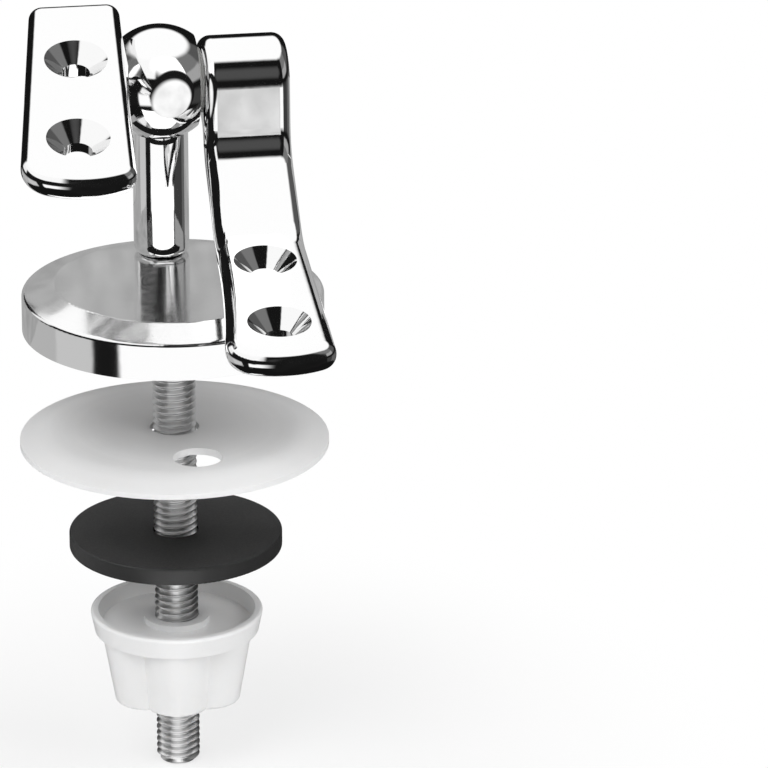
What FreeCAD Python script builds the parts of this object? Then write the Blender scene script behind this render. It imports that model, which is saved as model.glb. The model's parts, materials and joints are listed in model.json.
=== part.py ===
"""Toilet seat hinge: an eccentric pillar on a round base, two arms, and the stud with its fixings.

Millimetres, +Z up. The origin lies on the stud's axis, in the plane of the base disc's underside.
The arms reach towards -Y. The hinge axis runs along X, over the pillar.
"""
import FreeCAD, Part
import math
import os

from FreeCAD import Vector

# Base disc: a hollow casting with a flat top, a sloping shoulder and a short wall
DISC_D = 55.0
DISC_WALL_H = 6.9
DISC_CROWN_H = 8.8
DISC_FLAT_D = 43.0
DISC_WALL = 1.8
DISC_PLATE = 2.5
DISC_SHOULDER_ROUND = 0.8
DISC_FLAT_ROUND = 1.5
BOSS_D = 16.0
BOSS_GAP = 1.2

# Pillar with its ball head, one casting, set in from the disc's rim at the back
PILLAR_INSET = 11.5
PILLAR_D = 10.2
PILLAR_FOOT_ROUND = 1.4
PIVOT_H = 41.6
BALL_D = 21.2
BALL_FLAT_WIDTH = 13.0

# Screw that holds the pillar from below, with its spring washer
SCREW_D = 5.0
SCREW_HEAD_D = 9.0
SCREW_HEAD_H = 2.4
SCREW_GRIP = 14.0
SCREW_HOLE_GAP = 0.25
SCREW_SOCKET_AF = 3.0
SCREW_SOCKET_DEPTH = 1.5
LOCK_WASHER_D = 8.6
LOCK_WASHER_T = 1.2
LOCK_WASHER_SPLIT = 0.9

# Mounting stud, an M8 rod (its thread is a surface detail)
STUD_D = 8.0
STUD_TIP_Z = -86.0
STUD_GRIP = 4.4
STUD_CHAMFER = 1.0

# Hinge pin, bushes and push-on end caps
PIN_D = 6.0
BUSH_WALL = 1.0
BUSH_FLANGE_D = 12.0
BUSH_FLANGE_T = 0.6
RUNNING_GAP = 0.05
SIDE_GAP = 0.05
CAP_RECESS_DEPTH = 3.0
CAP_RECESS_GAP = 0.4
CAP_RIM_D = 10.6
CAP_RIM_T = 0.6
CAP_DOME_D = 8.2
CAP_DOME_H = 2.2
PIN_PAST_BUSH = 1.5

# Both arms: an eye on the hinge pin, and a plate with two screw holes and a rounded end
EYE_D = 16.0
ARM_WIDTH = 16.0
ARM_T = 5.0
EDGE_ROUND = 2.4
ARM_BLEND_R = 3.0
HOLE_PITCH = 23.4
SCREW_HOLE_D = 5.2
COUNTERSINK_D = 11.4
END_LAND = 12.8
END_BULGE = 3.0
FULL_CORNER_R = 6.5
TIGHT_CORNER_R = 3.5

# Seat arm: a neck under the eye, a ramp, then the plate; the reach is from the hinge axis to the last hole
SEAT_NECK = 7.6
SEAT_NECK_SLOPE = 87.0
SEAT_BEND_R = 8.0
SEAT_RAMP = 12.2
SEAT_RAMP_SLOPE = 40.0
SEAT_FOOT_R = 10.0
SEAT_SLOPE = 7.5
SEAT_REACH = 58.2
SEAT_SHIFT = 0.8
SEAT_SPLAY = -1.9
SEAT_END_INNER = 10.7
SEAT_END_OUTER = 9.3
SEAT_FLARE_START = 16.0

# Lid arm: the plate lies over its eye and overhangs it
LID_RISE = 13.5
LID_SLOPE = 18.0
LID_REACH = 33.4
LID_BACK = -7.7
LID_BACK_WIDTH = 16.4
LID_BACK_CORNER_R = 2.5
LID_SHIFT = 0.6
LID_SPLAY = 5.4
LID_END_INNER = 10.4
LID_END_OUTER = 10.4

# Cap washer, an upturned saucer that fits the disc's rim
CAP_WASHER_D = 56.6
CAP_WASHER_T = 1.3
CAP_WASHER_RISE = 2.0
CAP_WASHER_SKIRT = 5.0
CAP_WASHER_LIP = 1.0
CAP_WASHER_ROUND = 9.0
CAP_WASHER_TOP_Z = -19.6
CAP_WASHER_HOLE_D = 9.0
CAP_WASHER_SIDE_HOLE_D = 9.0
CAP_WASHER_SIDE_HOLE_ANGLE = -82.0

# Rubber washer
RUBBER_D = 39.2
RUBBER_T = 3.2
RUBBER_TOP_Z = -39.9
RUBBER_EDGE_ROUND = 0.4
RUBBER_HOLE_GAP = 0.2

# Plastic fixing nut: a cupped flange over a tapering six-lobed grip
NUT_TOP_Z = -55.6
NUT_H = 17.0
NUT_FLANGE_D = 32.0
NUT_FLANGE_H = 3.9
NUT_FLANGE_TAPER = 0.8
NUT_RIM = 1.5
NUT_CUP_DEPTH = 2.6
NUT_HUB_D = 12.0
NUT_HUB_H = 1.2
NUT_LOBES = 6
NUT_FACING = -97.0
NUT_LOBE_R = 7.0
NUT_GRIP_TOP_D = 29.4
NUT_GRIP_BOTTOM_D = 24.6
NUT_EDGE_ROUND = 0.8
NUT_THREAD_GAP = 0.05

X_AXIS = Vector(1, 0, 0)
Z_AXIS = Vector(0, 0, 1)
ORIGIN = Vector(0, 0, 0)

STUD_R = STUD_D / 2
PIN_R = PIN_D / 2
EYE_R = EYE_D / 2
PILLAR_OFFSET = DISC_D / 2 - PILLAR_INSET
PIVOT = Vector(0, PILLAR_OFFSET, PIVOT_H)
DISC_CEILING = DISC_CROWN_H - DISC_PLATE
BUSH_R = PIN_R + RUNNING_GAP + BUSH_WALL
ARM_INNER_X = BALL_FLAT_WIDTH / 2 + SIDE_GAP + BUSH_FLANGE_T
ARM_OUTER_X = ARM_INNER_X + ARM_WIDTH
ARM_MID_X = (ARM_INNER_X + ARM_OUTER_X) / 2
RECESS_FLOOR_X = ARM_OUTER_X - CAP_RECESS_DEPTH
RECESS_D = CAP_RIM_D + 2 * CAP_RECESS_GAP


def revolve(points):
    """A solid turned about Z from a closed outline of (radius, height) points."""
    corners = [Vector(r, 0, z) for r, z in points]
    wire = Part.makePolygon(corners + corners[:1])
    return Part.Face(wire).revolve(ORIGIN, Z_AXIS, 360)


def rod(radius, length, base, axis=Z_AXIS):
    return Part.makeCylinder(radius, length, base, axis)


def round_edges(shape, radius, wanted):
    """Round the edges for which wanted(edge) is true."""
    edges = [edge for edge in shape.Edges if wanted(edge)]
    return shape.makeFillet(radius, edges)


def is_circle_at(edge, radius, z):
    """True for a full circle of that radius at that height."""
    curve = edge.Curve
    if not isinstance(curve, Part.Circle):
        return False
    return abs(curve.Radius - radius) < 1e-4 and abs(curve.Center.z - z) < 1e-4


def base_disc():
    outer_r = DISC_D / 2
    flat_r = DISC_FLAT_D / 2
    inner_r = outer_r - DISC_WALL
    inner_flat_r = min(flat_r, inner_r)
    inner_wall_h = DISC_WALL_H - DISC_WALL
    body = revolve([
        (0, DISC_CEILING), (inner_flat_r, DISC_CEILING), (inner_r, inner_wall_h), (inner_r, 0),
        (outer_r, 0), (outer_r, DISC_WALL_H), (flat_r, DISC_CROWN_H), (0, DISC_CROWN_H)])
    body = round_edges(body, DISC_SHOULDER_ROUND, lambda e: is_circle_at(e, outer_r, DISC_WALL_H))
    body = round_edges(body, DISC_FLAT_ROUND, lambda e: is_circle_at(e, flat_r, DISC_CROWN_H))
    boss_h = DISC_CEILING - BOSS_GAP
    body = body.fuse(rod(BOSS_D / 2, boss_h + DISC_PLATE / 2, Vector(0, 0, BOSS_GAP))).removeSplitter()
    body = body.cut(rod(STUD_R, STUD_GRIP, Vector(0, 0, BOSS_GAP)))
    screw_hole = rod(SCREW_D / 2 + SCREW_HOLE_GAP, DISC_CROWN_H, Vector(0, PILLAR_OFFSET, 0))
    return body.cut(screw_hole)


def pillar():
    foot = Vector(0, PILLAR_OFFSET, DISC_CROWN_H)
    post = rod(PILLAR_D / 2, PIVOT_H - DISC_CROWN_H, foot)
    post = round_edges(post, PILLAR_FOOT_ROUND, lambda e: is_circle_at(e, PILLAR_D / 2, DISC_CROWN_H))
    ball = Part.makeSphere(BALL_D / 2, PIVOT)
    slab_corner = Vector(-BALL_FLAT_WIDTH / 2, PILLAR_OFFSET - BALL_D, PIVOT_H - BALL_D)
    slab = Part.makeBox(BALL_FLAT_WIDTH, 2 * BALL_D, 2 * BALL_D, slab_corner)
    body = post.fuse(ball.common(slab)).removeSplitter()
    pin_start = PIVOT - X_AXIS * BALL_D
    body = body.cut(rod(PIN_R, 2 * BALL_D, pin_start, X_AXIS))
    return body.cut(rod(SCREW_D / 2, SCREW_GRIP, foot))


def pillar_screw():
    seat_z = DISC_CEILING - LOCK_WASHER_T
    axis_foot = Vector(0, PILLAR_OFFSET, seat_z)
    shank_length = DISC_CROWN_H + SCREW_GRIP - seat_z
    shank = rod(SCREW_D / 2, shank_length, axis_foot)
    head = rod(SCREW_HEAD_D / 2, SCREW_HEAD_H, axis_foot - Z_AXIS * SCREW_HEAD_H)
    head_z = seat_z - SCREW_HEAD_H
    head = round_edges(head, SCREW_HEAD_H / 4, lambda e: is_circle_at(e, SCREW_HEAD_D / 2, head_z))
    socket_r = SCREW_SOCKET_AF / math.sqrt(3)
    centre = Vector(0, PILLAR_OFFSET, head_z)
    turns = [math.radians(angle) for angle in range(0, 360, 60)]
    corners = [centre + Vector(math.cos(turn), math.sin(turn), 0) * socket_r for turn in turns]
    hexagon = Part.makePolygon(corners + corners[:1])
    socket = Part.Face(hexagon).extrude(Z_AXIS * SCREW_SOCKET_DEPTH)
    return head.fuse(shank).removeSplitter().cut(socket)


def lock_washer():
    base = Vector(0, PILLAR_OFFSET, DISC_CEILING - LOCK_WASHER_T)
    ring = rod(LOCK_WASHER_D / 2, LOCK_WASHER_T, base)
    ring = ring.cut(rod(SCREW_D / 2 + SCREW_HOLE_GAP, LOCK_WASHER_T, base))
    split_corner = base - X_AXIS * (LOCK_WASHER_SPLIT / 2)
    split = Part.makeBox(LOCK_WASHER_SPLIT, LOCK_WASHER_D, LOCK_WASHER_T, split_corner)
    return ring.cut(split)


def mounting_stud():
    top_z = BOSS_GAP + STUD_GRIP
    stud = rod(STUD_R, top_z - STUD_TIP_Z, Vector(0, 0, STUD_TIP_Z))
    tip = [edge for edge in stud.Edges if is_circle_at(edge, STUD_R, STUD_TIP_Z)]
    return stud.makeChamfer(STUD_CHAMFER, tip)


def hinge_pin():
    half = RECESS_FLOOR_X + PIN_PAST_BUSH
    return rod(PIN_R, 2 * half, PIVOT - X_AXIS * half, X_AXIS)


def side_of(solid, side):
    """A piece made on the +X side, moved to its place at the pivot, mirrored for side -1."""
    placed = solid if side > 0 else solid.mirror(ORIGIN, X_AXIS)
    return placed.translated(PIVOT)


def bush(side):
    flange_x = ARM_INNER_X - BUSH_FLANGE_T
    sleeve = rod(BUSH_R, RECESS_FLOOR_X - flange_x, X_AXIS * flange_x, X_AXIS)
    flange = rod(BUSH_FLANGE_D / 2, BUSH_FLANGE_T, X_AXIS * flange_x, X_AXIS)
    body = sleeve.fuse(flange).removeSplitter()
    bore = rod(PIN_R + RUNNING_GAP, RECESS_FLOOR_X, X_AXIS * flange_x, X_AXIS)
    return side_of(body.cut(bore), side)


def pin_cap(side):
    """A domed push-on cap that keeps an arm on the pin."""
    rim_x = RECESS_FLOOR_X + SIDE_GAP
    rim = rod(CAP_RIM_D / 2, CAP_RIM_T, X_AXIS * rim_x, X_AXIS)
    dome = rod(CAP_DOME_D / 2, CAP_DOME_H, X_AXIS * rim_x, X_AXIS)
    crown_x = rim_x + CAP_DOME_H
    dome = round_edges(dome, (CAP_DOME_H - CAP_RIM_T) / 2, lambda e: abs(e.BoundBox.XMin - crown_x) < 1e-4)
    body = rim.fuse(dome).removeSplitter()
    socket = rod(PIN_R, PIN_PAST_BUSH - SIDE_GAP, X_AXIS * rim_x, X_AXIS)
    return side_of(body.cut(socket), side)


def plate_axes(slope):
    """Unit vectors along an arm's plate, away from the eye, and out of its top face."""
    fall = math.radians(slope)
    along = Vector(0, -math.cos(fall), -math.sin(fall))
    out = Vector(0, -math.sin(fall), math.cos(fall))
    return along, out


def arc_between(centre, start, end):
    """The shorter arc between two points of a circle."""
    middle = (start - centre) + (end - centre)
    middle.normalize()
    return Part.Arc(start, centre + middle * start.distanceToPoint(centre), end).toShape()


def turned(vector, angle):
    """A vector of the side view, turned about the hinge axis."""
    cosine = math.cos(angle)
    sine = math.sin(angle)
    return Vector(0, vector.y * cosine - vector.z * sine, vector.y * sine + vector.z * cosine)


def eye_arc(start, end, middle):
    """The part of the eye's circle from start to end that passes the side that middle points to."""
    return Part.Arc(start, middle * (EYE_R / middle.Length), end).toShape()


def blend_centre(centre, reach, side):
    """The point as far from the eye's circle as from another one, for an arc that touches both."""
    eye_reach = EYE_R + ARM_BLEND_R
    gap = centre.Length
    angle = math.acos((eye_reach ** 2 + gap ** 2 - reach ** 2) / (2 * eye_reach * gap))
    return turned(centre, side * angle) * (eye_reach / gap)


def seat_profile():
    """Side view of the seat arm: the eye and a strap of even thickness, with a point on the plate's top."""
    neck_along, neck_out = plate_axes(SEAT_NECK_SLOPE)
    ramp_along, ramp_out = plate_axes(SEAT_RAMP_SLOPE)
    along, out = plate_axes(SEAT_SLOPE)
    neck_top = neck_out * EYE_R
    neck_end = neck_top + neck_along * SEAT_NECK
    bend = neck_end + neck_out * SEAT_BEND_R
    ramp_top = bend - ramp_out * SEAT_BEND_R
    ramp_end = ramp_top + ramp_along * SEAT_RAMP
    foot = ramp_end + ramp_out * SEAT_FOOT_R
    plate_start = foot - out * SEAT_FOOT_R
    plate_end = plate_start + along * (SEAT_REACH + END_LAND)
    back_r = SEAT_BEND_R + ARM_T
    blend = blend_centre(bend, back_r + ARM_BLEND_R, 1)
    back_touch = bend + (blend - bend) * (back_r / (back_r + ARM_BLEND_R))
    eye_touch = blend * (EYE_R / blend.Length)
    ramp_under = ramp_out * ARM_T
    plate_under = out * ARM_T
    edges = [
        Part.makeLine(neck_top, neck_end),
        arc_between(bend, neck_end, ramp_top),
        Part.makeLine(ramp_top, ramp_end),
        arc_between(foot, ramp_end, plate_start),
        Part.makeLine(plate_start, plate_end),
        Part.makeLine(plate_end, plate_end - plate_under),
        Part.makeLine(plate_end - plate_under, plate_start - plate_under),
        arc_between(foot, plate_start - plate_under, ramp_end - ramp_under),
        Part.makeLine(ramp_end - ramp_under, ramp_top - ramp_under),
        arc_between(bend, ramp_top - ramp_under, back_touch),
        arc_between(blend, back_touch, eye_touch),
        eye_arc(eye_touch, neck_top, (eye_touch + neck_top) * -1)]
    return Part.Face(Part.Wire(edges)), plate_start.dot(out)


def lid_eye_profile():
    """Side view of the lid arm's eye and the web that runs up into the plate."""
    along, out = plate_axes(LID_SLOPE)
    inside_up = LID_RISE - ARM_T / 2
    under_up = LID_RISE - ARM_T
    blend_up = under_up - ARM_BLEND_R
    blend = out * blend_up + along * math.sqrt((EYE_R + ARM_BLEND_R) ** 2 - blend_up ** 2)
    under_touch = blend + out * ARM_BLEND_R
    web_top = under_touch + out * (inside_up - under_up)
    eye_touch = blend * (EYE_R / blend.Length)
    heel_top = along * (LID_BACK + ARM_T / 2) + out * inside_up
    heel_turn = math.acos(EYE_R / heel_top.Length)
    heel = turned(heel_top, -heel_turn) * (EYE_R / heel_top.Length)
    edges = [
        Part.makeLine(heel, heel_top),
        Part.makeLine(heel_top, web_top),
        Part.makeLine(web_top, under_touch),
        arc_between(blend, under_touch, eye_touch),
        eye_arc(eye_touch, heel, out * -1)]
    return Part.Face(Part.Wire(edges))


def outline_prism(slope, edges, rounds, low, high):
    """A prism square to a plate, from low to high over the hinge axis.

    An edge is a list of two points for a line or three for an arc, each (x, distance along the plate).
    rounds are (corner, radius).
    """
    along, out = plate_axes(slope)

    def at(point):
        return X_AXIS * point[0] + along * point[1] + out * low

    sides = []
    for edge in edges:
        points = [at(point) for point in edge]
        sides.append(Part.Arc(*points).toShape() if len(points) == 3 else Part.makeLine(*points))
    prism = Part.Face(Part.Wire(sides)).extrude(out * (high - low))
    for corner, radius in rounds:
        middle = at(corner) + out * ((high - low) / 2)
        prism = round_edges(prism, radius, lambda e: e.CenterOfMass.distanceToPoint(middle) < 1e-6)
    return prism


def flank(root, end, side):
    """The edge from a root that runs straight along the plate to a corner of its end, on the +1 or -1 side.

    It is an arc, or a straight line where it closes in by next to nothing.
    """
    offset = end[0] - root[0]
    length = end[1] - root[1]
    closing = -side * offset
    if 0 <= closing < length / 200:
        return [root, end]
    radius = (offset ** 2 + length ** 2) / (2 * offset)
    turn = math.asin(length / abs(radius)) / 2
    middle = (root[0] + radius * (1 - math.cos(turn)), root[1] + abs(radius) * math.sin(turn))
    return [root, middle, end]


def plate_end(centre_x, reach, splay, inner_land, outer_land):
    """The outer and inner corners of a plate's end, its tip, and the two hole centres, last one first.

    The lands are what the plate has on each side of the line of its holes.
    """
    drift = math.radians(splay)
    end_x = centre_x + reach * math.tan(drift)
    ahead_x = math.sin(drift)
    ahead_s = math.cos(drift)
    corner_x = end_x + ahead_x * (END_LAND - END_BULGE)
    corner_s = reach + ahead_s * (END_LAND - END_BULGE)
    outer = (corner_x + ahead_s * outer_land, corner_s - ahead_x * outer_land)
    inner = (corner_x - ahead_s * inner_land, corner_s + ahead_x * inner_land)
    tip = (end_x + ahead_x * END_LAND, reach + ahead_s * END_LAND)
    holes = [(end_x, reach), (end_x - ahead_x * HOLE_PITCH, reach - ahead_s * HOLE_PITCH)]
    return outer, inner, tip, holes


def is_arm_side(face, out):
    """True for the faces cut by the arm's outline, which stand square to its plate."""
    if isinstance(face.Surface, Part.Cylinder):
        return abs(abs(face.Surface.Axis.dot(out)) - 1) < 1e-6
    return isinstance(face.Surface, Part.Plane) and abs(face.Surface.Axis.x) > math.sqrt(0.5)


def countersunk_hole(top, out):
    """A cutter for one screw hole, with its 90 degree countersink in the top face."""
    depth = (COUNTERSINK_D - SCREW_HOLE_D) / 2
    past = depth / 10
    cone_base = top - out * depth
    cone = Part.makeCone(SCREW_HOLE_D / 2, COUNTERSINK_D / 2 + past, depth + past, cone_base, out)
    return cone.fuse(rod(SCREW_HOLE_D / 2, 2 * ARM_T, top - out * (2 * ARM_T), out))


def round_sides(body, radius, out):
    """Round the edges along both sides of an arm."""

    def bounds_a_side(edge):
        sides = [is_arm_side(face, out) for face in body.ancestorsOfType(edge, Part.Face)]
        return sides.count(True) == 1

    return round_edges(body, radius, bounds_a_side)


def bored(body, slope, plate_up, holes):
    """An arm with its countersunk screw holes, the bore for its bush and the recess for the pin cap."""
    along, out = plate_axes(slope)
    for x, s in holes:
        body = body.cut(countersunk_hole(X_AXIS * x + along * s + out * plate_up, out))
    body = body.cut(rod(BUSH_R, ARM_OUTER_X, ORIGIN, X_AXIS))
    return body.cut(rod(RECESS_D / 2, CAP_RECESS_DEPTH, X_AXIS * RECESS_FLOOR_X, X_AXIS))


def seat_arm():
    """The seat arm: its side view run across X, cut to its outline, rounded, then bored."""
    out = plate_axes(SEAT_SLOPE)[1]
    profile, plate_up = seat_profile()
    centre_x = ARM_MID_X + SEAT_SHIFT
    outer, inner, tip, holes = plate_end(centre_x, SEAT_REACH, SEAT_SPLAY, SEAT_END_INNER, SEAT_END_OUTER)
    outer_root = (ARM_OUTER_X, SEAT_FLARE_START)
    inner_root = (ARM_INNER_X, SEAT_FLARE_START)
    outer_back = (ARM_OUTER_X, -EYE_D)
    inner_back = (ARM_INNER_X, -EYE_D)
    edges = [
        [outer, tip, inner], flank(inner_root, inner, -1)[::-1], [inner_root, inner_back],
        [inner_back, outer_back], [outer_back, outer_root], flank(outer_root, outer, 1)]
    rounds = [(inner, FULL_CORNER_R), (outer, TIGHT_CORNER_R)]
    tall = SEAT_REACH
    body = profile.extrude(X_AXIS * (ARM_OUTER_X + SEAT_END_OUTER))
    body = body.common(outline_prism(SEAT_SLOPE, edges, rounds, -tall, tall))
    body = round_sides(body, EDGE_ROUND, out)
    return side_of(bored(body, SEAT_SLOPE, plate_up, holes), 1)


def lid_arm():
    """The lid arm: a rounded plate on a narrower eye and web, then bored."""
    out = plate_axes(LID_SLOPE)[1]
    centre_x = ARM_MID_X + LID_SHIFT
    outer, inner, tip, holes = plate_end(centre_x, LID_REACH, LID_SPLAY, LID_END_INNER, LID_END_OUTER)
    back_x = centre_x + LID_BACK * math.tan(math.radians(LID_SPLAY))
    outer_back = (back_x + LID_BACK_WIDTH / 2, LID_BACK)
    inner_back = (back_x - LID_BACK_WIDTH / 2, LID_BACK)
    edges = [[outer, tip, inner], [inner, inner_back], [inner_back, outer_back], [outer_back, outer]]
    rounds = [(inner, TIGHT_CORNER_R), (outer, FULL_CORNER_R), (inner_back, LID_BACK_CORNER_R),
              (outer_back, LID_BACK_CORNER_R)]
    plate = outline_prism(LID_SLOPE, edges, rounds, LID_RISE - ARM_T, LID_RISE)
    plate = round_edges(plate, EDGE_ROUND, lambda e: abs(e.tangentAt(e.FirstParameter).dot(out)) < 0.5)
    eye = lid_eye_profile().extrude(X_AXIS * ARM_WIDTH).translated(X_AXIS * ARM_INNER_X)
    body = plate.fuse(eye).removeSplitter()
    return side_of(bored(body, LID_SLOPE, LID_RISE, holes), -1)


def base_cap():
    hole_r = CAP_WASHER_HOLE_D / 2
    rim_r = CAP_WASHER_D / 2
    flat_r = rim_r - CAP_WASHER_SKIRT
    rim_z = CAP_WASHER_TOP_Z - CAP_WASHER_RISE
    under_z = CAP_WASHER_TOP_Z - CAP_WASHER_T
    foot_z = rim_z - CAP_WASHER_LIP
    body = revolve([
        (hole_r, CAP_WASHER_TOP_Z), (flat_r, CAP_WASHER_TOP_Z), (rim_r, rim_z), (rim_r, foot_z),
        (rim_r - CAP_WASHER_LIP, foot_z), (flat_r - CAP_WASHER_LIP / 2, under_z), (hole_r, under_z)])
    body = round_edges(body, CAP_WASHER_ROUND, lambda e: is_circle_at(e, flat_r, CAP_WASHER_TOP_Z))
    turn = math.radians(CAP_WASHER_SIDE_HOLE_ANGLE)
    side_hole = Vector(math.cos(turn), math.sin(turn), 0) * PILLAR_OFFSET + Z_AXIS * foot_z
    return body.cut(rod(CAP_WASHER_SIDE_HOLE_D / 2, CAP_WASHER_TOP_Z - foot_z, side_hole))


def rubber_washer():
    foot = Vector(0, 0, RUBBER_TOP_Z - RUBBER_T)
    disc = rod(RUBBER_D / 2, RUBBER_T, foot)
    disc = round_edges(disc, RUBBER_EDGE_ROUND, lambda e: isinstance(e.Curve, Part.Circle))
    return disc.cut(rod(STUD_R + RUBBER_HOLE_GAP, RUBBER_T, foot))


def lobed_wire(diameter, z):
    """A ring of equal lobes, each an arc, at one height of the nut's grip."""
    lobe_r = NUT_LOBE_R * diameter / NUT_GRIP_TOP_D
    centre_r = diameter / 2 - lobe_r
    half = math.pi / NUT_LOBES
    groove_r = centre_r * math.cos(half) + math.sqrt(lobe_r ** 2 - (centre_r * math.sin(half)) ** 2)

    def at(radius, angle):
        return Vector(radius * math.cos(angle), radius * math.sin(angle), z)

    arcs = []
    for lobe in range(NUT_LOBES):
        middle = math.radians(NUT_FACING) + 2 * half * lobe
        start = at(groove_r, middle - half)
        end = at(groove_r, middle + half)
        arcs.append(Part.Arc(start, at(diameter / 2, middle), end).toShape())
    return Part.Wire(arcs)


def fixing_nut():
    foot_z = NUT_TOP_Z - NUT_H
    flange_foot = NUT_TOP_Z - NUT_FLANGE_H
    cup_z = NUT_TOP_Z - NUT_CUP_DEPTH
    flange_r = NUT_FLANGE_D / 2
    grip_foot = lobed_wire(NUT_GRIP_BOTTOM_D, foot_z)
    grip_top = lobed_wire(NUT_GRIP_TOP_D, flange_foot)
    grip = Part.makeLoft([grip_foot, grip_top], True)
    grip = round_edges(grip, NUT_EDGE_ROUND, lambda e: abs(e.BoundBox.ZMax - foot_z) < 1e-4)
    flange = revolve([
        (0, flange_foot), (flange_r - NUT_FLANGE_TAPER, flange_foot), (flange_r, NUT_TOP_Z),
        (flange_r - NUT_RIM, NUT_TOP_Z), (flange_r - NUT_RIM - NUT_FLANGE_TAPER, cup_z),
        (NUT_HUB_D / 2, cup_z), (NUT_HUB_D / 2, cup_z + NUT_HUB_H), (0, cup_z + NUT_HUB_H)])
    flange = round_edges(flange, NUT_RIM / 3, lambda e: is_circle_at(e, flange_r, NUT_TOP_Z))
    body = grip.fuse(flange).removeSplitter()
    return body.cut(rod(STUD_R + NUT_THREAD_GAP, NUT_H, Vector(0, 0, foot_z)))


def main():
    nodes = {
        "base_disc": base_disc(),
        "pillar": pillar(),
        "pillar_screw": pillar_screw(),
        "lock_washer": lock_washer(),
        "mounting_stud": mounting_stud(),
        "hinge_pin": hinge_pin(),
        "seat_arm": seat_arm(),
        "lid_arm": lid_arm(),
        "seat_bush": bush(1),
        "lid_bush": bush(-1),
        "seat_pin_cap": pin_cap(1),
        "lid_pin_cap": pin_cap(-1),
        "base_cap": base_cap(),
        "rubber_washer": rubber_washer(),
        "fixing_nut": fixing_nut(),
    }
    os.makedirs("parts", exist_ok=True)
    for name, shape in nodes.items():
        shape.exportStep("parts/" + name + ".step")


main()
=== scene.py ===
"""Looks of the toilet seat hinge: finishes, the stud's thread, studio light and camera.

Lengths are in metres, in the part's own frame: +Z up, origin on the stud's axis under the base disc. Only the
reflector cards are laid out in millimetres.
"""
import json
import math

import bmesh
import bpy
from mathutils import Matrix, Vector


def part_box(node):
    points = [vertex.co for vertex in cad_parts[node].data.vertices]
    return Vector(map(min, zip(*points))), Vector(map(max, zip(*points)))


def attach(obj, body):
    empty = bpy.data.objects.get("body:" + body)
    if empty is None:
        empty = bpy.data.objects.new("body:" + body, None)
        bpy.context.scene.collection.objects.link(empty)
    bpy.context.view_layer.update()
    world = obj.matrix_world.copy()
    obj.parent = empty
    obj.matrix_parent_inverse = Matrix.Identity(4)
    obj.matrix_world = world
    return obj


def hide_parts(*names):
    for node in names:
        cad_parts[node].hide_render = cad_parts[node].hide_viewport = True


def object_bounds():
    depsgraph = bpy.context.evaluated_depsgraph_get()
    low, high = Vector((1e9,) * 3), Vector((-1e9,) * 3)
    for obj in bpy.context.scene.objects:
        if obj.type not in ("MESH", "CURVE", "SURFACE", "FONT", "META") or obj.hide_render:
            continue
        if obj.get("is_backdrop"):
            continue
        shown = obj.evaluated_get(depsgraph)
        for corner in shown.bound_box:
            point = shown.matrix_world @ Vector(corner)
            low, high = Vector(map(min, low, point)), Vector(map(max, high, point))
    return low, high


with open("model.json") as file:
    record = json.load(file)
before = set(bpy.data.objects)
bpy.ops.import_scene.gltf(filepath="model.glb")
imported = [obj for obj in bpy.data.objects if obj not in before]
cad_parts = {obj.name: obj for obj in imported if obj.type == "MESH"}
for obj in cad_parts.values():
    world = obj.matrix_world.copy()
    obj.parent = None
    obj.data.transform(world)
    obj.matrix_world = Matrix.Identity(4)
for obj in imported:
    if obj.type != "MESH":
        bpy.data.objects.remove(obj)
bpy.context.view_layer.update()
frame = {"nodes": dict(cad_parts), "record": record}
MM = 0.001

# Camera: the photograph's angle, from far off with a long lens
CAMERA_AZIMUTH = math.radians(-7.0)
CAMERA_ELEVATION = math.radians(20.8)
CAMERA_DISTANCE = 1.2
CAMERA_REACH = 20.0
FRAME_PIXELS = 768
PIXELS_PER_METRE = 5490.0
SENSOR_WIDTH = 36.0
ORIGIN_PIXEL = (174.0, 323.5)

# Light on all that isn't a mirror: an even world and two lamps
SOFT_LIGHT = 0.5
LAMPS = {
    "key": {"location": (-0.35, -0.45, 0.6), "target": (0, 0, 0), "size": 0.5, "energy": 3.2},
    "fill": {"location": (0.5, -0.3, 0.35), "target": (0, 0, -0.03), "size": 0.5, "energy": 1.6},
}

# Studio that polished metal sees: levels round the compass, each from the bearing in degrees where it starts,
# with 0 at the front and right positive
DARK_LEVEL = 0.008
FLOOR_LEVELS = [(-180, 0.01), (-150, 0.5), (-108, 0.62), (-71, 0.01), (-49, 1.15), (48, 0.05), (90, 0.13),
                (140, 0.01)]
LOW_SIDE_LEVELS = [(-180, 0.008), (-140, 1.0), (-112, 0.008), (50, 0.4), (96, 0.1), (130, 0.008)]
SOFTBOX_LEVELS = [(-180, 0.008), (-140, 1.1), (-16, 0.008), (50, 0.2), (96, 0.1), (130, 0.008)]
FLOOR_SOFTNESS = 2.0
SIDE_SOFTNESS = 4.0

# Where each of them takes over, going up: the sine of the elevation at both ends of a soft step
FLOOR_STEP = (-0.56, -0.47)
HORIZON_STEP = (-0.20, -0.06)
LOW_SIDE_STEP = (0.04, 0.14)
SOFTBOX_STEP = (0.37, 0.43)

# Two round lights: which way the middle is, and the cosine of the angle to it at both ends of a soft step
OVERHEAD_LEVEL = 1.15
OVERHEAD_DIRECTION = (0.0, 0.276, 0.961)
OVERHEAD_STEP = (0.66, 0.77)
FRONT_GLOW_LEVEL = 0.08
FRONT_GLOW_DIRECTION = (0.1, -0.88, 0.46)
FRONT_GLOW_STEP = (0.94, 0.995)

# Reflector cards: how bright, how cloudy, and the clouds to the metre
CARD_WHITE = 1.5
CARD_BLACK = 0.01
CARD_CLOUD = 0.45
CARD_CLOUD_SCALE = 170.0

# Side view of the seat arm with room round it, (y, z) in mm: a black flag of this outline darkens its side
SEAT_SIDE_OUTLINE = [(-40, 8), (-8, 12), (2, 21), (8, 30), (8, 48), (-1, 48), (-2, 34), (-9, 24), (-40, 20)]

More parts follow.
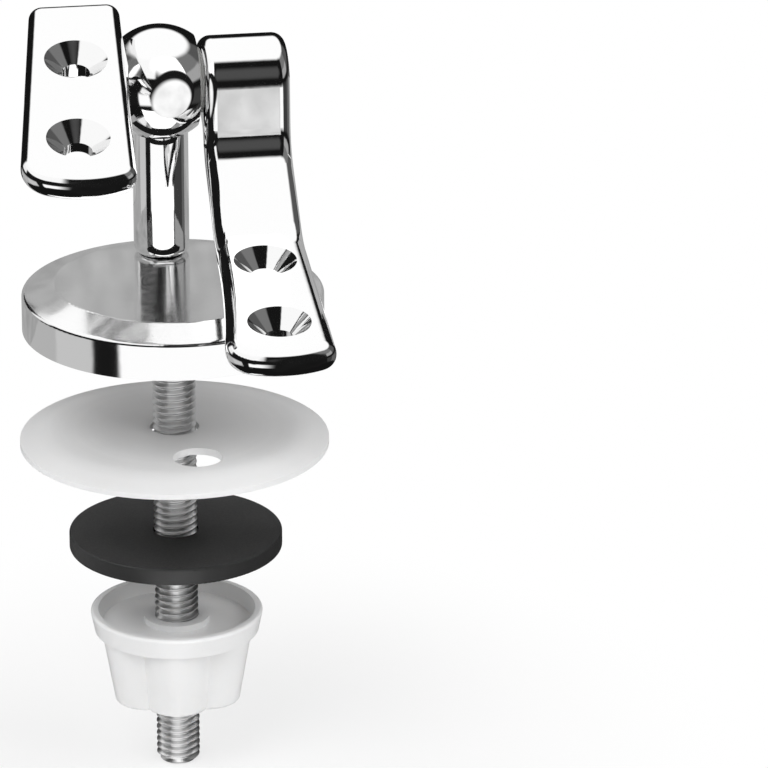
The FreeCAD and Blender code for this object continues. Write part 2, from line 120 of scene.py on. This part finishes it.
# Floor: its own shading shows through the white by this share, from the stud out to these distances
SHADOW_SHARE = 0.35
SHADOW_FROM = 20 * MM
SHADOW_TO = 110 * MM
FLOOR_HALF_WIDTH = 1.5
FLOOR_GAP = 0.2 * MM

# Base disc: height from which its finish turns satin, and over how much
TURNED_FROM = 6.6 * MM
TURNED_BLEND = 0.5 * MM

# Cap washer: painted shade, darker near the stud where the disc above shades it; distances from the stud's
# axis between which it fades to a paler rim, and how far that wanders
PAINTED_SHADE_FADE_FROM = 12 * MM
PAINTED_SHADE_FADE_TO = 31 * MM
PAINTED_SHADE_WANDER = 5 * MM

# Thread of the stud: M8 with a pitch of 1.25 mm
THREAD_PITCH = 1.25 * MM
THREAD_DEPTH = 0.62 * MM
THREAD_STEPS_PER_TURN = 56
THREAD_CHAMFER = 0.9 * MM
# Least radius in the chamfer, as a share of the stud's
THREAD_TIP_SHARE = 0.1
# Turns below the tip and above the top, cut off later; the odd share keeps corners out of the plane of a cut
THREAD_LEAD = 2.37
THREAD_RUN_OUT = 2
# One turn of it: share of the pitch going up, and share of the depth
THREAD_PROFILE = [(0.0, 0.0), (0.06, 0.0), (0.44, 1.0), (0.56, 1.0), (0.94, 0.0)]


def add_object(name, vertices, faces):
    """A new mesh object in the scene."""
    mesh = bpy.data.meshes.new(name)
    mesh.from_pydata(vertices, [], faces)
    mesh.update()
    piece = bpy.data.objects.new(name, mesh)
    bpy.context.scene.collection.objects.link(piece)
    return piece


def connect(tree, socket, value):
    """Give a socket a fixed value, or link another socket to it."""
    if isinstance(value, bpy.types.NodeSocket):
        tree.links.new(value, socket)
    else:
        socket.default_value = value


def set_up(tree, node, settings):
    """Set a node's properties and sockets by name, with an underscore for each space in a socket's name."""
    for key, value in settings.items():
        name = key.replace("_", " ")
        if name in node.inputs:
            connect(tree, node.inputs[name], value)
        else:
            setattr(node, key, value)


def add_node(tree, kind, **settings):
    """A node of that kind with those settings."""
    node = tree.nodes.new(kind)
    set_up(tree, node, settings)
    return node


def new_material(name, **settings):
    """A material, its node tree and its Principled shader with those settings."""
    material = bpy.data.materials.new(name)
    material.use_nodes = True
    tree = material.node_tree
    shader = tree.nodes["Principled BSDF"]
    set_up(tree, shader, settings)
    return material, tree, shader


def calculate(tree, kind, operation, values):
    """A node of a kind of maths, fed with numbers, vectors or sockets in their order."""
    node = add_node(tree, kind, operation=operation)
    for socket, value in zip(node.inputs, values):
        connect(tree, socket, value)
    return node.outputs


def maths(tree, operation, *values):
    """The number that an operation on numbers gives."""
    return calculate(tree, "ShaderNodeMath", operation, values)["Value"]


def vector_maths(tree, operation, *values, result="Value"):
    """The number, or with result="Vector" the vector, that an operation on vectors gives."""
    return calculate(tree, "ShaderNodeVectorMath", operation, values)[result]


def spread(tree, value, low, high):
    """A value from 0 to 1 spread between low and high."""
    return add_node(tree, "ShaderNodeMapRange", Value=value, To_Min=low, To_Max=high).outputs["Result"]


def stepped(tree, value, start, end):
    """From 0 to 1, softly, as a value passes from start to end."""
    node = add_node(tree, "ShaderNodeMapRange", interpolation_type="SMOOTHSTEP", Value=value, From_Min=start,
                    From_Max=end)
    return node.outputs["Result"]


def mix_values(tree, share, first, second):
    """A number between two others."""
    node = add_node(tree, "ShaderNodeMix", data_type="FLOAT", Factor=share, A=first, B=second)
    return node.outputs["Result"]


def mix_colours(tree, share, first, second):
    """A colour between two others."""
    node = add_node(tree, "ShaderNodeMix", data_type="RGBA", Factor=share, A=first, B=second)
    return node.outputs["Result"]


def mix_shaders(tree, share, first, second):
    """A shader between two others."""
    node = add_node(tree, "ShaderNodeMixShader", Fac=share)
    tree.links.new(first, node.inputs[1])
    tree.links.new(second, node.inputs[2])
    return node.outputs["Shader"]


def place(tree):
    """Where a point is, in its object's own coordinates."""
    return add_node(tree, "ShaderNodeTexCoord").outputs["Object"]


def axis_distance(tree):
    """How far a point is from the stud's axis."""
    flat = vector_maths(tree, "MULTIPLY", place(tree), (1, 1, 0), result="Vector")
    return vector_maths(tree, "LENGTH", flat)


def noise(tree, scale, detail):
    """Noise over the object's own coordinates; scale is in features to the metre."""
    return add_node(tree, "ShaderNodeTexNoise", Vector=place(tree), Scale=scale, Detail=detail).outputs["Fac"]


def ring_noise(tree, scale, detail):
    """Noise in rings about the stud's axis."""
    texture = add_node(tree, "ShaderNodeTexNoise", noise_dimensions="1D", W=axis_distance(tree), Scale=scale,
                       Detail=detail)
    return texture.outputs["Fac"]


def grey(level, tint=0.0):
    """A neutral colour; a positive tint turns it a little to blue."""
    return (level, level, level + tint, 1)


def add_bump(tree, shader, height, strength, distance):
    """Let a height, from 0 to 1, stand out from the surface by a distance."""
    bump = add_node(tree, "ShaderNodeBump", Height=height, Strength=strength, Distance=distance)
    tree.links.new(bump.outputs["Normal"], shader.inputs["Normal"])


def chrome_material():
    """Polished plate with a faint haze and the slight waviness of a cast part."""
    material, tree, shader = new_material("chrome_plate", Base_Color=grey(0.86), Metallic=1.0)
    haze = noise(tree, scale=260.0, detail=3.0)
    tree.links.new(spread(tree, haze, low=0.03, high=0.09), shader.inputs["Roughness"])
    add_bump(tree, shader, noise(tree, scale=420.0, detail=1.0), strength=0.06, distance=0.2 * MM)
    return material


def turned_chrome_material():
    """Plate whose wall is polished and whose top keeps the fine rings of turning under a satin haze."""
    material, tree, shader = new_material("turned_chrome", Base_Color=grey(0.86), Metallic=1.0)
    height = add_node(tree, "ShaderNodeSeparateXYZ", Vector=place(tree)).outputs["Z"]
    on_top = stepped(tree, height, TURNED_FROM, TURNED_FROM + TURNED_BLEND)
    polished = spread(tree, noise(tree, scale=260.0, detail=3.0), low=0.05, high=0.10)
    satin = spread(tree, ring_noise(tree, scale=2600.0, detail=3.0), low=0.07, high=0.20)
    tree.links.new(mix_values(tree, on_top, polished, satin), shader.inputs["Roughness"])
    add_bump(tree, shader, noise(tree, scale=300.0, detail=1.0), strength=0.12, distance=0.2 * MM)
    return material


def steel_material(name, colour, roughness):
    """Drawn or turned steel with a fine grain."""
    material, tree, shader = new_material(name, Base_Color=colour, Metallic=1.0)
    grain = noise(tree, scale=1800.0, detail=4.0)
    tree.links.new(spread(tree, grain, roughness * 0.7, roughness * 1.3), shader.inputs["Roughness"])
    add_bump(tree, shader, grain, strength=0.15, distance=0.05 * MM)
    return material


def plastic_material(name, dark, light, roughness, subsurface):
    """A moulded plastic or rubber with faint cloudiness in its colour and a fine surface grain."""
    material, tree, shader = new_material(name, Subsurface_Weight=subsurface, Subsurface_Scale=3 * MM,
                                          Subsurface_Radius=(1.0, 0.95, 0.9))
    cloud = noise(tree, scale=90.0, detail=3.0)
    tree.links.new(mix_colours(tree, cloud, dark, light), shader.inputs["Base Color"])
    grain = noise(tree, scale=2400.0, detail=3.0)
    tree.links.new(spread(tree, grain, roughness * 0.8, roughness * 1.2), shader.inputs["Roughness"])
    add_bump(tree, shader, grain, strength=0.08, distance=0.05 * MM)
    return material


def milky_material():
    """Milky plastic of the cap washer with painted shade: darker near the stud, lighter towards its rim, its
    edge wandering in the flow rings of moulding.
    """
    material = plastic_material("milky_plastic", grey(0.75), grey(0.81), roughness=0.4, subsurface=0.3)
    tree = material.node_tree
    base_colour = tree.nodes["Principled BSDF"].inputs["Base Color"]
    cloudy = base_colour.links[0].from_socket
    wandering = ring_noise(tree, scale=420.0, detail=3.0)
    ringed = maths(tree, "MULTIPLY_ADD", wandering, PAINTED_SHADE_WANDER, axis_distance(tree))
    out_of_painted_shade = stepped(tree, ringed, PAINTED_SHADE_FADE_FROM, PAINTED_SHADE_FADE_TO)
    # Painted shade: the cloudy grey near the stud fades to a paler grey towards the rim
    tree.links.new(mix_colours(tree, out_of_painted_shade, cloudy, grey(0.88)), base_colour)
    return material


def dress_nodes():
    """Give each CAD node its finish."""
    finishes = {
        "chrome": chrome_material(),
        "cap_steel": steel_material("cap_steel", grey(0.72), roughness=0.18),
        "pin_steel": steel_material("pin_steel", grey(0.6), roughness=0.25),
        "zinc_steel": steel_material("zinc_steel", grey(0.62, 0.02), roughness=0.3),
        "stud_steel": steel_material("stud_steel", grey(0.8), roughness=0.32),
        "nylon": plastic_material("nylon", grey(0.8, -0.03), grey(0.86, -0.03), roughness=0.45,
                                  subsurface=0.2),
        "milky_plastic": milky_material(),
        "black_rubber": plastic_material("black_rubber", grey(0.012), grey(0.034), roughness=0.5,
                                         subsurface=0.0),
        "white_plastic": plastic_material("white_plastic", grey(0.9), grey(0.94), roughness=0.3,
                                          subsurface=0.3),
    }
    slots = {row["node"]: row["material_slot"] for row in frame["record"]["subparts"]}
    for name, node in frame["nodes"].items():
        finish = turned_chrome_material() if name == "base_disc" else finishes[slots[name]]
        for slot in node.material_slots:
            slot.material = finish
    return finishes


def cut_and_cap(piece, height, side):
    """Cut a piece level at a height, drop what is beyond on side +1 or -1, and close the cut."""
    shape = bmesh.new()
    shape.from_mesh(piece.data)
    whole = shape.verts[:] + shape.edges[:] + shape.faces[:]
    cut = bmesh.ops.bisect_plane(shape, geom=whole, plane_co=(0, 0, height), plane_no=(0, 0, side),
                                 clear_outer=True)
    rim = [edge for edge in cut["geom_cut"] if isinstance(edge, bmesh.types.BMEdge)]
    bmesh.ops.contextual_create(shape, geom=rim)
    bmesh.ops.recalc_face_normals(shape, faces=shape.faces[:])
    shape.to_mesh(piece.data)
    shape.free()


def threaded_stud(material):
    """The stud with its thread: a strip that winds up the rod, cut level at both ends, its tip chamfered."""
    low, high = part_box("mounting_stud")
    outer = (high.x - low.x) / 2
    start = low.z - THREAD_LEAD * THREAD_PITCH
    turns = (high.z - start) / THREAD_PITCH + THREAD_RUN_OUT
    count = int(turns * THREAD_STEPS_PER_TURN)
    width = len(THREAD_PROFILE)
    vertices = []
    for step in range(count):
        angle = 2 * math.pi * step / THREAD_STEPS_PER_TURN
        rise = start + THREAD_PITCH * step / THREAD_STEPS_PER_TURN
        for share, depth in THREAD_PROFILE:
            z = rise + share * THREAD_PITCH
            tip_radius = max(outer - THREAD_CHAMFER + (z - low.z), THREAD_TIP_SHARE * outer)
            radius = min(outer - depth * THREAD_DEPTH, tip_radius)
            vertices.append((radius * math.cos(angle), radius * math.sin(angle), z))
    faces = []
    for step in range(count - THREAD_STEPS_PER_TURN - 1):
        here = step * width
        turn_up = here + THREAD_STEPS_PER_TURN * width
        rows = list(range(here, here + width)) + [turn_up]
        for lower, upper in zip(rows, rows[1:]):
            faces.append((lower, lower + width, upper + width, upper))
    piece = add_object("stud_thread", vertices, faces)
    cut_and_cap(piece, low.z, -1)
    cut_and_cap(piece, high.z, 1)
    piece.data.materials.append(material)
    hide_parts("mounting_stud")
    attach(piece, "hinge_base")


def look_at(thing, location, target):
    """Put a camera or lamp at a place, turned to a target."""
    thing.location = location
    thing.rotation_euler = (Vector(location) - Vector(target)).to_track_quat("Z", "Y").to_euler()


def add_camera():
    """A camera that sees the part's origin at its pixel in the photograph, at the photograph's scale."""
    azimuth = CAMERA_AZIMUTH
    elevation = CAMERA_ELEVATION
    back = Vector((math.sin(azimuth) * math.cos(elevation), -math.cos(azimuth) * math.cos(elevation),
                   math.sin(elevation)))
    right = Vector((math.cos(azimuth), math.sin(azimuth), 0))
    up = back.cross(right)
    middle = FRAME_PIXELS / 2
    aim = right * ((middle - ORIGIN_PIXEL[0]) / PIXELS_PER_METRE)
    aim -= up * ((middle - ORIGIN_PIXEL[1]) / PIXELS_PER_METRE)
    data = bpy.data.cameras.new("camera")
    data.sensor_width = SENSOR_WIDTH
    data.lens = SENSOR_WIDTH * CAMERA_DISTANCE * PIXELS_PER_METRE / FRAME_PIXELS
    data.clip_end = CAMERA_REACH
    camera = bpy.data.objects.new("camera", data)
    bpy.context.scene.collection.objects.link(camera)
    look_at(camera, back * CAMERA_DISTANCE, aim)
    bpy.context.scene.camera = camera


def add_lamp(name, location, target, size, energy):
    """A round soft lamp that mirrors don't show."""
    data = bpy.data.lights.new(name, "AREA")
    data.shape = "DISK"
    data.size = size
    data.energy = energy
    lamp = bpy.data.objects.new(name, data)
    bpy.context.scene.collection.objects.link(lamp)
    look_at(lamp, location, target)
    lamp.visible_camera = False
    lamp.visible_glossy = False


def by_bearing(tree, bearing, levels, softness):
    """Levels round the compass, with each change spread over some degrees to both sides."""
    level = levels[0][1]
    for start, value in levels[1:]:
        edge = stepped(tree, bearing, math.radians(start - softness), math.radians(start + softness))
        level = mix_values(tree, edge, level, value)
    return level


def studio_level(tree):
    """How bright the studio is in each direction: layers laid over each other, from the floor up."""
    direction = add_node(tree, "ShaderNodeTexCoord").outputs["Generated"]
    parts = add_node(tree, "ShaderNodeSeparateXYZ", Vector=direction).outputs
    height = parts["Z"]
    bearing = maths(tree, "ARCTAN2", parts["X"], maths(tree, "MULTIPLY", parts["Y"], -1.0))
    to_front_glow = vector_maths(tree, "DOT_PRODUCT", direction, FRONT_GLOW_DIRECTION)
    to_overhead = vector_maths(tree, "DOT_PRODUCT", direction, OVERHEAD_DIRECTION)
    layers = [
        (height, FLOOR_STEP, by_bearing(tree, bearing, FLOOR_LEVELS, FLOOR_SOFTNESS)),
        (height, HORIZON_STEP, DARK_LEVEL),
        (height, LOW_SIDE_STEP, by_bearing(tree, bearing, LOW_SIDE_LEVELS, SIDE_SOFTNESS)),
        (height, SOFTBOX_STEP, by_bearing(tree, bearing, SOFTBOX_LEVELS, SIDE_SOFTNESS)),
        (to_front_glow, FRONT_GLOW_STEP, FRONT_GLOW_LEVEL),
        (to_overhead, OVERHEAD_STEP, OVERHEAD_LEVEL),
    ]
    level = DARK_LEVEL
    for value, (start, end), layer in layers:
        level = mix_values(tree, stepped(tree, value, start, end), level, layer)
    return level


def background(tree, strength):
    """A white background of that strength."""
    return add_node(tree, "ShaderNodeBackground", Color=grey(1), Strength=strength).outputs["Background"]


def add_world():
    """White to the camera, a studio to polished metal, and soft even light to the rest."""
    world = bpy.data.worlds.new("studio")
    bpy.context.scene.world = world
    world.use_nodes = True
    tree = world.node_tree
    tree.nodes.clear()
    ray = add_node(tree, "ShaderNodeLightPath").outputs
    studio = background(tree, studio_level(tree))
    lit = mix_shaders(tree, ray["Is Glossy Ray"], background(tree, SOFT_LIGHT), studio)
    seen = mix_shaders(tree, ray["Is Camera Ray"], lit, background(tree, 1.0))
    add_node(tree, "ShaderNodeOutputWorld", Surface=seen)


def upright(across, y, heights):
    """Corners of an upright card: it faces the front if across runs from left to right, else the back."""
    start, end = across
    low, high = heights
    return [(start, y, low), (end, y, low), (end, y, high), (start, y, high)]


def level_card(across, along, z):
    """Corners of a card that lies flat and faces up; across runs to the right and along to the back."""
    left, right = across
    front, rear = along
    return [(left, front, z), (right, front, z), (right, rear, z), (left, rear, z)]


def over_disc(corners, lift):
    """Corners of a card that lies a little over the base disc's top and faces up."""
    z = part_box("base_disc")[1].z / MM + lift
    return [(x, y, z) for x, y in corners]


def add_card(name, corners, level, fade=None):
    """A one-sided, slightly cloudy reflector that only metal sees, clear from behind.

    Its corners are in mm, anticlockwise from its front. A fade of (centre, inner, outer) makes it a round
    one with a soft edge between those two radii.
    """
    points = [tuple(value * MM for value in corner) for corner in corners]
    card = add_object(name, points, [tuple(range(len(points)))])
    material, tree, shader = new_material(name)
    tree.nodes.remove(shader)
    cloud = noise(tree, CARD_CLOUD_SCALE, detail=3.0)
    strength = spread(tree, cloud, level * (1 - CARD_CLOUD), level * (1 + CARD_CLOUD))
    glow = add_node(tree, "ShaderNodeEmission", Color=grey(1), Strength=strength)
    clear = add_node(tree, "ShaderNodeBsdfTransparent")
    surface = add_node(tree, "ShaderNodeNewGeometry").outputs
    clearness = surface["Backfacing"]
    if fade:
        centre, inner, outer = fade
        distance = vector_maths(tree, "DISTANCE", surface["Position"], Vector(centre) * MM)
        clearness = maths(tree, "MAXIMUM", stepped(tree, distance, inner * MM, outer * MM), clearness)
    seen = mix_shaders(tree, clearness, glow.outputs["Emission"], clear.outputs["BSDF"])
    tree.links.new(seen, tree.nodes["Material Output"].inputs["Surface"])
    card.data.materials.append(material)
    card.visible_camera = False
    card.visible_diffuse = False
    card.visible_shadow = False
    card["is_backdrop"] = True


def add_cards():
    """White and grey cards and black flags, placed in mm round the chrome that mirrors them."""
    # Seat arm and lid arm: light on the ramp, a grey band on the neck, dark front edges and a dark side
    add_card("neck_card", upright((7.5, 22.8), 6.4, (27, 50)), CARD_WHITE)
    add_card("plate_card", upright((36, 8), -30, (16.5, 36)), 0.8)
    add_card("lid_flag", upright((0, -28), -34.5, (22, 50)), CARD_BLACK, fade=((-13.5, -34.5, 36), 8.5, 13))
    add_card("seat_flag", upright((31, 7), -54.5, (-3, 21)), CARD_BLACK, fade=((19, -54.5, 9), 7.5, 11.5))
    add_card("seat_side_flag", [(2.5, y, z) for y, z in SEAT_SIDE_OUTLINE], CARD_BLACK)

    # Ball: light above, a bright spot in a black ring, and a dark underside
    add_card("ball_card", upright((7, -7), 4.6, (44, 58)), CARD_WHITE, fade=((3.5, 4.6, 54), 6.5, 9.5))
    add_card("ball_flag", upright((12, -6), 4.75, (33, 51)), CARD_BLACK, fade=((3, 4.75, 42), 6.2, 6.9))
    add_card("ball_spot", upright((12, -6), 4.9, (33, 51)), 1.1, fade=((2, 4.9, 40.6), 4.4, 5.6))
    add_card("ball_low_flag", level_card((-9, 9), (8, 10.6), 31), CARD_BLACK)

    # Base disc: greys behind it for its top
    add_card("back_card", upright((-90, 60), 30, (-16, 13)), 0.4)
    add_card("high_back_card", upright((-32, 60), 30.2, (13, 36)), 0.46)

    # Pillar: what it mirrors of the disc is white in front, grey at its left and black round its foot
    front = [(-2, 11), (-33, -19), (0, -30), (33, -19), (2, 11)]
    left_side = [(-4.8, 14.4), (-12, 27), (-28, 15), (-31, 2), (-2.7, 11.7)]
    foot = [(-7, 7), (7, 7), (7, 10.8), (-7, 10.8)]
    add_card("disc_card", over_disc(front, 0.4), CARD_WHITE)
    add_card("disc_side_card", over_disc(left_side, 0.4), 0.42)
    add_card("foot_flag", over_disc(foot, 0.6), CARD_BLACK)

    # Stud: light in front of its thread and below it
    add_card("stud_card", upright((4, -16), -30, (-80, -40)), CARD_WHITE)
    add_card("stud_low_card", level_card((-16, 4), (-30, 0), -95), CARD_WHITE)


def add_floor():
    """A floor that is white to the camera, shaded a little near the stud, and unseen by mirrors."""
    half = FLOOR_HALF_WIDTH
    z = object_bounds()[0].z - FLOOR_GAP
    corners = [(-half, -half, z), (half, -half, z), (half, half, z), (-half, half, z)]
    floor = add_object("floor", corners, [(0, 1, 2, 3)])
    material, tree, shader = new_material("white_floor", Base_Color=grey(0.9), Roughness=0.9)
    glow = add_node(tree, "ShaderNodeEmission", Color=grey(1), Strength=1.0)
    apart = stepped(tree, axis_distance(tree), SHADOW_FROM, SHADOW_TO)
    from_camera = add_node(tree, "ShaderNodeLightPath").outputs["Is Camera Ray"]
    whiteness = maths(tree, "MULTIPLY", from_camera, spread(tree, apart, 1 - SHADOW_SHARE, 1))
    seen = mix_shaders(tree, whiteness, shader.outputs["BSDF"], glow.outputs["Emission"])
    tree.links.new(seen, tree.nodes["Material Output"].inputs["Surface"])
    floor.visible_glossy = False
    floor.data.materials.append(material)
    floor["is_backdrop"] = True


bpy.context.scene.view_settings.view_transform = "Standard"
finishes = dress_nodes()
threaded_stud(finishes["stud_steel"])
add_camera()
add_world()
for name, settings in LAMPS.items():
    add_lamp(name, **settings)
add_cards()
add_floor()
